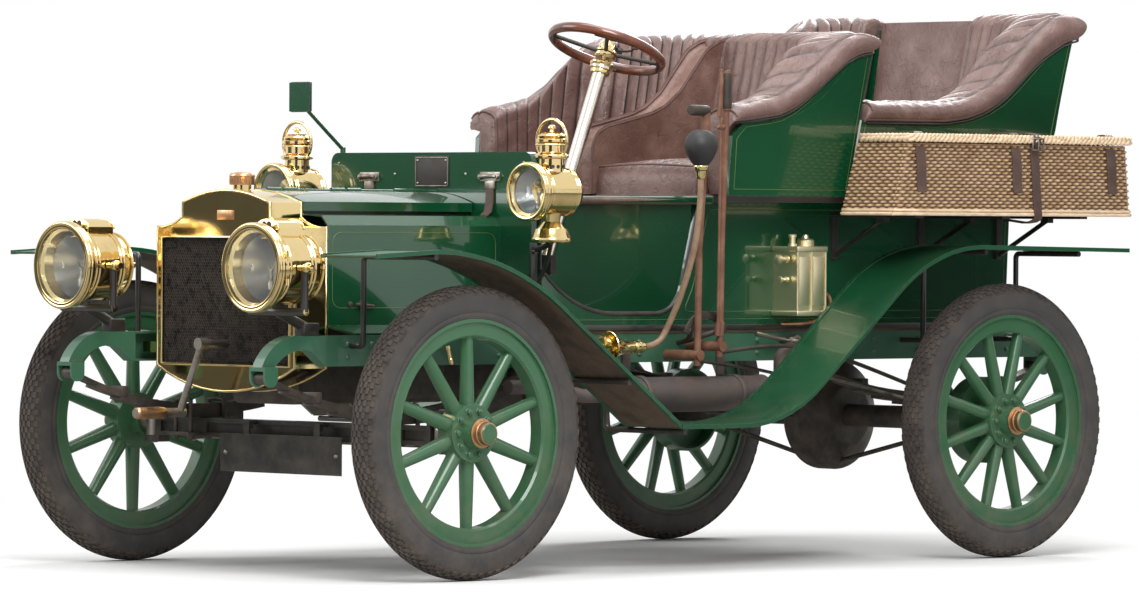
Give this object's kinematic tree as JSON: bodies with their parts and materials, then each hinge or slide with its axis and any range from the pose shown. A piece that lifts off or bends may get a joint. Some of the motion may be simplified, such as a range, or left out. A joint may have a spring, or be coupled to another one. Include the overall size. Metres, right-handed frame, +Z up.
{
  "type": "brass era car",
  "caption": "Brass era open car with a rear entrance tonneau, wooden spoked wheels, brass lamps and radiator, leather bucket seats and wicker hampers.",
  "frame": {"origin": "ground point midway between the axles, on the car's centre plane", "axes": "+X forward, +Y to the car's left, +Z up"},
  "size_m": [3.2, 1.61, 1.627],
  "materials": {
    "green_paint": "gloss",
    "wheel_paint": "satin",
    "black_paint": "satin",
    "brass": "polished",
    "steel": "satin",
    "cast_iron": "matte",
    "leather": "satin",
    "wood": "satin",
    "wicker": "matte",
    "glass": "gloss",
    "rubber": "matte",
    "tyre": "matte",
    "mirror_glass": "polished"
  },
  "bodies": {
    "chassis": {"body_sides": "green_paint", "bonnet_sides": "green_paint", "cross_members": "green_paint", "cushions": "leather", "dashboard": "green_paint", "engine_block": "cast_iron", "floor": "wood", "frame_rails": "green_paint", "front_axle": "black_paint", "front_backs": "leather", "front_seat_panels": "green_paint", "front_wings": "green_paint", "gearbox": "cast_iron", "generator": "brass", "hamper_irons": "black_paint", "hampers": "wicker", "headlamps": "brass", "horn": "rubber", "lamp_glasses": "glass", "leaf_springs": "black_paint", "levers": "black_paint", "mirror": "mirror_glass", "number_plate": "black_paint", "pedals": "black_paint", "radiator_core": "black_paint", "radiator_shell": "brass", "rear_axle": "black_paint", "rear_backs": "leather", "rear_wings": "green_paint", "seat_board": "green_paint", "seat_boxes": "green_paint", "side_lamps": "brass", "silencer": "cast_iron", "starting_handle": "steel", "steering_column": "steel", "tonneau_panels": "green_paint", "wing_irons": "black_paint"},
    "bonnet_lid_left": {"bonnet_lid_left": "green_paint"},
    "bonnet_lid_right": {"bonnet_lid_right": "green_paint"},
    "rear_door": {"rear_door": "green_paint", "door_pad": "leather"},
    "hamper_lid_left": {"hamper_lid_left": "wicker"},
    "hamper_lid_right": {"hamper_lid_right": "wicker"},
    "knuckle_left": {"knuckle_left": "black_paint"},
    "knuckle_right": {"knuckle_right": "black_paint"},
    "track_rod": {"track_rod": "black_paint"},
    "steering_wheel": {"steering_wheel": "wood"},
    "front_left_wheel": {"wheel_front_left": "wheel_paint", "tyre_front_left": "tyre"},
    "front_right_wheel": {"wheel_front_right": "wheel_paint", "tyre_front_right": "tyre"},
    "rear_left_wheel": {"wheel_rear_left": "wheel_paint", "tyre_rear_left": "tyre"},
    "rear_right_wheel": {"wheel_rear_right": "wheel_paint", "tyre_rear_right": "tyre"}
  },
  "joints": [
    {"name": "steer_left", "type": "hinge", "parent": "chassis", "child": "knuckle_left", "pos_m": [1.08, 0.615, 0.405], "axis": [0, 0, 1], "range_deg": [-30, 30]},
    {"name": "steer_right", "type": "hinge", "parent": "chassis", "child": "knuckle_right", "pos_m": [1.08, -0.615, 0.405], "axis": [0, 0, 1], "range_deg": [-30, 30]},
    {"name": "track_rod_turn", "type": "hinge", "parent": "knuckle_left", "child": "track_rod", "pos_m": [0.93, 0.615, 0.36], "axis": [0, 0, 1], "range_deg": [-30, 30]},
    {"name": "steering_wheel_turn", "type": "hinge", "parent": "chassis", "child": "steering_wheel", "pos_m": [0.095, 0.235, 1.485], "axis": [-0.3697, 0, 0.9291], "range_deg": [-240, 240]},
    {"name": "rear_door_swing", "type": "hinge", "parent": "chassis", "child": "rear_door", "pos_m": [-1.499, -0.2095, 1.27], "axis": [-0.172, 0, 0.9851], "range_deg": [0, 100]},
    {"name": "bonnet_left_lift", "type": "hinge", "parent": "chassis", "child": "bonnet_lid_left", "pos_m": [0.896, 0, 1.0695], "axis": [1, 0, 0], "range_deg": [0, 75]},
    {"name": "bonnet_right_lift", "type": "hinge", "parent": "chassis", "child": "bonnet_lid_right", "pos_m": [0.896, 0, 1.0695], "axis": [-1, 0, 0], "range_deg": [0, 75]},
    {"name": "hamper_left_lift", "type": "hinge", "parent": "chassis", "child": "hamper_lid_left", "pos_m": [-1.05, 0.57, 1.2316], "axis": [1, 0, 0], "range_deg": [0, 50]},
    {"name": "hamper_right_lift", "type": "hinge", "parent": "chassis", "child": "hamper_lid_right", "pos_m": [-1.05, -0.57, 1.2316], "axis": [-1, 0, 0], "range_deg": [0, 50]},
    {"name": "front_left_spin", "type": "hinge", "parent": "knuckle_left", "child": "front_left_wheel", "pos_m": [1.08, 0.71, 0.405], "axis": [0, 1, 0], "continuous": true},
    {"name": "front_right_spin", "type": "hinge", "parent": "knuckle_right", "child": "front_right_wheel", "pos_m": [1.08, -0.71, 0.405], "axis": [0, 1, 0], "continuous": true},
    {"name": "rear_left_spin", "type": "hinge", "parent": "chassis", "child": "rear_left_wheel", "pos_m": [-1.08, 0.71, 0.405], "axis": [0, 1, 0], "continuous": true},
    {"name": "rear_right_spin", "type": "hinge", "parent": "chassis", "child": "rear_right_wheel", "pos_m": [-1.08, -0.71, 0.405], "axis": [0, 1, 0], "continuous": true}
  ],
  "couplings": [
    {"joint": "steer_right", "follows": "steer_left", "ratio": 1},
    {"joint": "track_rod_turn", "follows": "steer_left", "ratio": -1},
    {"joint": "steering_wheel_turn", "follows": "steer_left", "ratio": 8}
  ]
}
